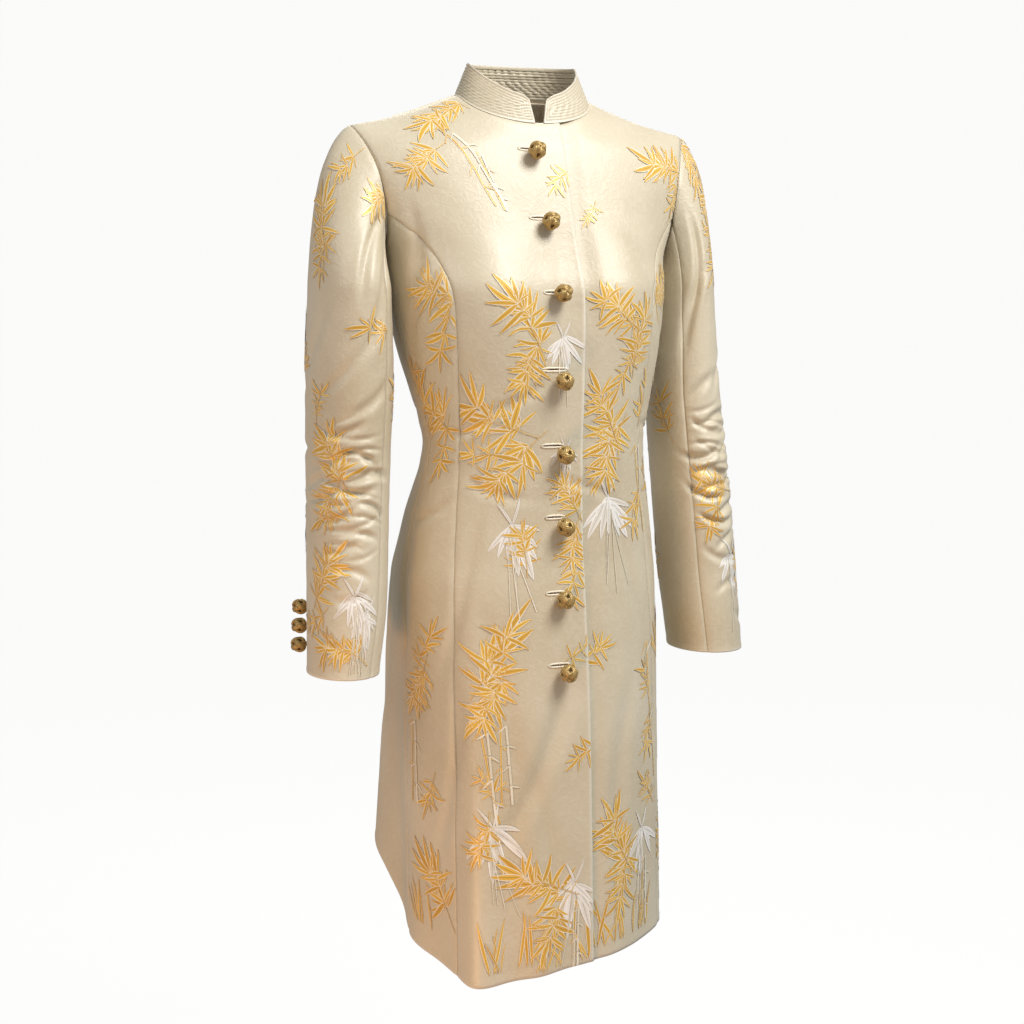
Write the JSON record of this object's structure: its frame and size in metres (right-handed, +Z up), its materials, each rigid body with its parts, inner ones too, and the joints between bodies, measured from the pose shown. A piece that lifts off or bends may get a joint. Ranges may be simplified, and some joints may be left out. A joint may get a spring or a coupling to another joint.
{
  "type": "long jacket",
  "caption": "Long fitted jacket with stand collar, princess seams, two-piece sleeves and a front closed by knot buttons, worn and hollow.",
  "frame": {"origin": "middle of the shoulder line, where a wearer carries the jacket", "axes": "+Z up along the jacket's length, +X to the wearer's left, the front faces -Y"},
  "size_m": [0.5123, 0.2895, 0.9582],
  "materials": {
    "brocade": "ivory satin brocade with woven gold and white bamboo",
    "facing": "plain tan facing",
    "knot_gold": "antique gold woven cord knot"
  },
  "bodies": {
    "root": {"front_right": "brocade", "side_front_right": "brocade", "back_right": "brocade", "sleeve_top_right": "brocade", "sleeve_under_right": "brocade", "cuff_button_right_1": "knot_gold", "cuff_button_right_2": "knot_gold", "cuff_button_right_3": "knot_gold", "front_left": "brocade", "side_front_left": "brocade", "back_left": "brocade", "sleeve_top_left": "brocade", "sleeve_under_left": "brocade", "cuff_button_left_1": "knot_gold", "cuff_button_left_2": "knot_gold", "cuff_button_left_3": "knot_gold", "collar": "brocade", "neck_facing": "facing", "button_1": "knot_gold", "button_2": "knot_gold", "button_3": "knot_gold", "button_4": "knot_gold", "button_5": "knot_gold", "button_6": "knot_gold", "button_7": "knot_gold", "button_8": "knot_gold"}
  },
  "joints": []
}
